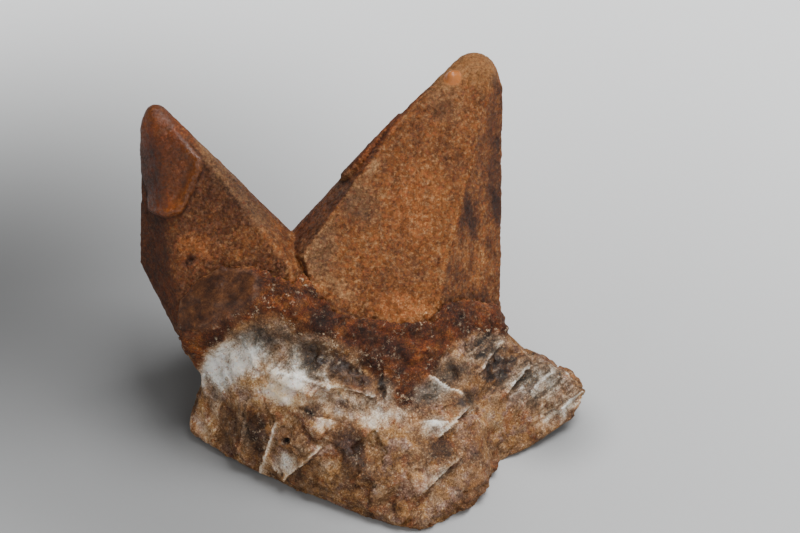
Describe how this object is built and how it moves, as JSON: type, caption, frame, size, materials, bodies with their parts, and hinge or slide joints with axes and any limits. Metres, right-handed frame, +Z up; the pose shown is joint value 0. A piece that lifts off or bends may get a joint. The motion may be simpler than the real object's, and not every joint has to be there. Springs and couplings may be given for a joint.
{
  "type": "calcite specimen",
  "caption": "Mineral hand specimen: dog-tooth calcite crystals, coated orange-brown, leaning apart from a broken, sugary calcite base that rests on a flat underside.",
  "frame": {"origin": "middle of the flat resting face under the base", "axes": "+Z up, -Y towards the broken front, +X towards the cleaved wing; both crystals lean back towards +Y and apart along X"},
  "size_m": [0.0813, 0.0684, 0.0627],
  "materials": {
    "coated_calcite": "orange-brown iron-stained calcite, finely granular, glossy on the cap, bead and tip",
    "broken_calcite": "broken calcite: sugary white, tan and brown with smoky see-through windows and a brown crust"
  },
  "bodies": {
    "root": {"crystals": "coated_calcite", "matrix": "broken_calcite"}
  },
  "joints": []
}
